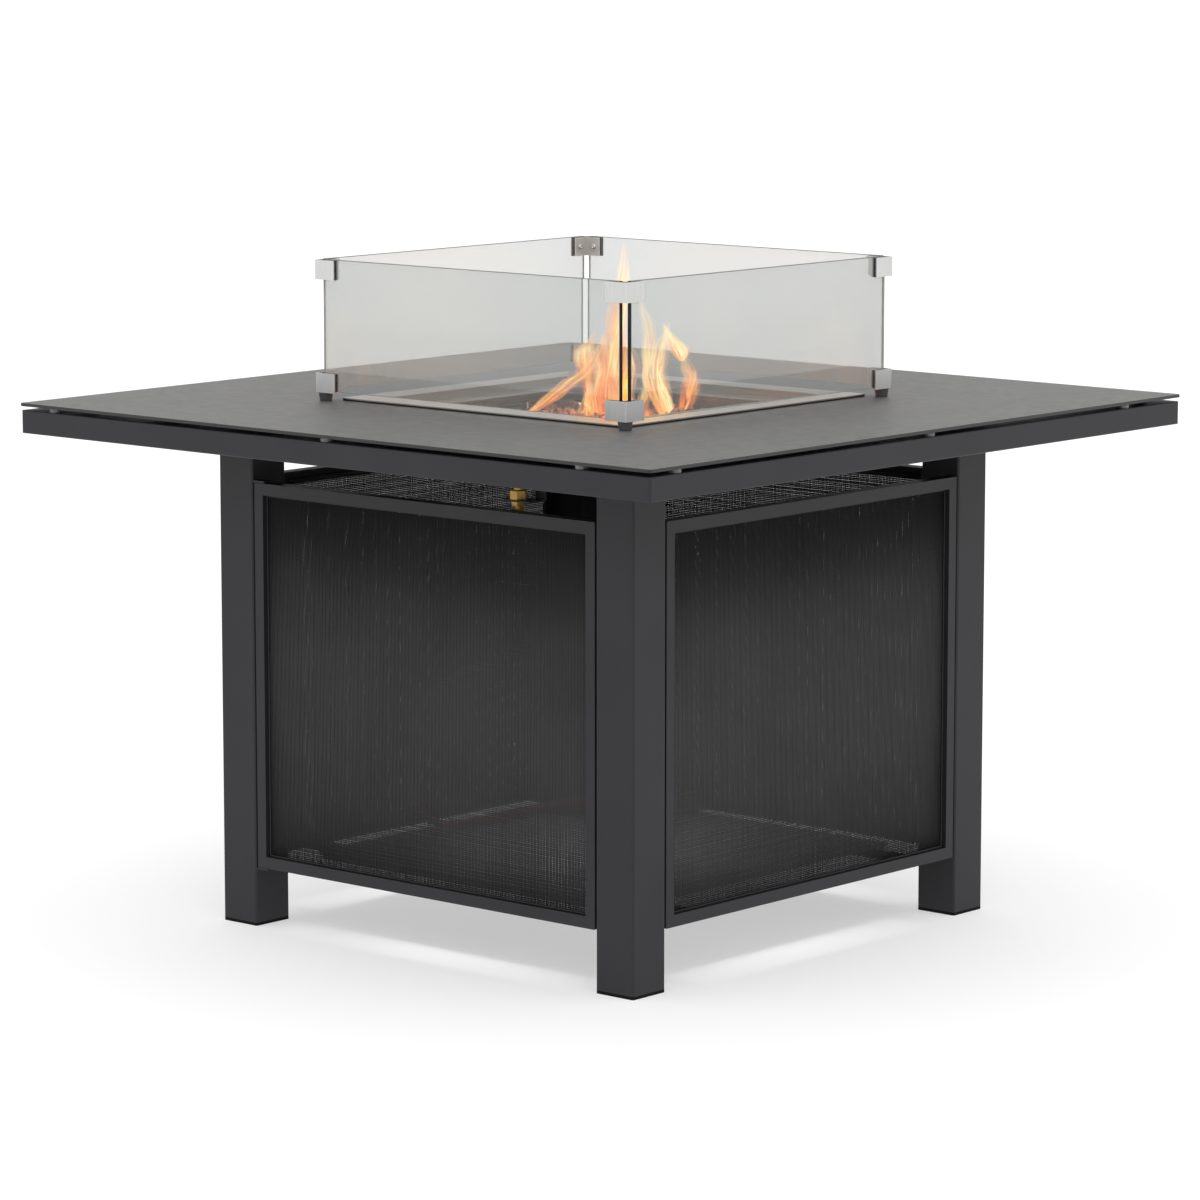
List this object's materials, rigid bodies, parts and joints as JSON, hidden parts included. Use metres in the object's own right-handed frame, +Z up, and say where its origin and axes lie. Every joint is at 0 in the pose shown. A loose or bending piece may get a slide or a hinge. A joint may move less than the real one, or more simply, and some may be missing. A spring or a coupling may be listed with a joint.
{
  "type": "gas fire pit table",
  "caption": "Square gas fire pit table with mesh side panels, a hinged door, a drop-in burner with lava stones and a lift-off glass wind guard.",
  "frame": {"origin": "on the floor, under the middle of the table", "axes": "+Z up, -Y out of the door side, +X to the right when facing the door"},
  "size_m": [1.06, 1.06, 0.86],
  "materials": {
    "powder_coat": "fine satin powder coat, charcoal",
    "base_plate_paint": "satin powder coat, mid grey",
    "mesh": "open woven mesh, black",
    "black_plastic": "moulded black",
    "clear_pad": "clear soft pad",
    "top_ceramic": "satin grey with black edges",
    "brushed_stainless": "brushed",
    "lava": "rough, broken",
    "electrode": "glazed white",
    "brass": "machined",
    "zinc_screw": "bright plated",
    "valve_casting": "die cast",
    "gas_pipe": "drawn tube",
    "hose": "smooth orange rubber",
    "pane_glass": "clear toughened",
    "gasket": "matt black"
  },
  "bodies": {
    "table": {"apron_back": "powder_coat", "apron_front": "powder_coat", "apron_left": "powder_coat", "apron_right": "powder_coat", "base_bearers": "powder_coat", "base_plate": "base_plate_paint", "burner_bearer_back": "powder_coat", "burner_bearer_front": "powder_coat", "burner_pan": "brushed_stainless", "burner_pipe": "gas_pipe", "burner_ring": "brushed_stainless", "burner_surround": "brushed_stainless", "control_plate": "powder_coat", "cross_rail_left": "powder_coat", "cross_rail_right": "powder_coat", "door_magnet": "black_plastic", "feed_pipe": "gas_pipe", "gas_hose": "hose", "gas_injector": "brass", "gas_regulator": "valve_casting", "gas_union": "brass", "gas_valve": "valve_casting", "hinge_brackets": "powder_coat", "igniter_body": "black_plastic", "inlet_bracket": "powder_coat", "lava_stones": "lava", "leg_back_left": "powder_coat", "leg_back_right": "powder_coat", "leg_caps": "black_plastic", "leg_front_left": "powder_coat", "leg_front_right": "powder_coat", "panel_back_frame": "powder_coat", "panel_back_mesh": "mesh", "panel_left_frame": "powder_coat", "panel_left_mesh": "mesh", "panel_right_frame": "powder_coat", "panel_right_mesh": "mesh", "panel_screws": "zinc_screw", "plate_pads": "clear_pad", "regulator_nut": "brass", "rim_gasket": "gasket", "spark_electrode": "electrode", "tie_rail_back": "powder_coat", "tie_rail_front": "powder_coat", "top_plate": "top_ceramic"},
    "door": {"door_frame": "powder_coat", "door_mesh": "mesh", "door_screws": "zinc_screw", "door_catch_ball": "zinc_screw"},
    "wind_guard": {"pane_back": "pane_glass", "pane_front": "pane_glass", "pane_left": "pane_glass", "pane_right": "pane_glass", "corner_clips": "brushed_stainless", "clip_gaskets": "gasket", "clip_screws": "zinc_screw", "guard_feet": "gasket"},
    "gas_stem": {"valve_stem": "zinc_screw"},
    "gas_knob": {"control_knob": "black_plastic"},
    "igniter": {"igniter_button": "black_plastic"}
  },
  "joints": [
    {"name": "door_hinge", "type": "hinge", "parent": "table", "child": "door", "pos_m": [-0.281, -0.3445, 0.328], "axis": [0, 0, -1], "range_deg": [0, 110]},
    {"name": "guard_lift", "type": "slide", "parent": "table", "child": "wind_guard", "axis": [0, 0, 1], "range_m": [0, 0.3]},
    {"name": "knob_push", "type": "slide", "parent": "table", "child": "gas_stem", "axis": [1, 0, 0], "range_m": [0, 0.003], "stiffness_N_per_m": 1500},
    {"name": "knob_turn", "type": "hinge", "parent": "gas_stem", "child": "gas_knob", "pos_m": [-0.36, -0.03, 0.604], "axis": [-1, 0, 0], "range_deg": [0, 180]},
    {"name": "igniter_push", "type": "slide", "parent": "table", "child": "igniter", "axis": [1, 0, 0], "range_m": [0, 0.004], "stiffness_N_per_m": 800}
  ]
}
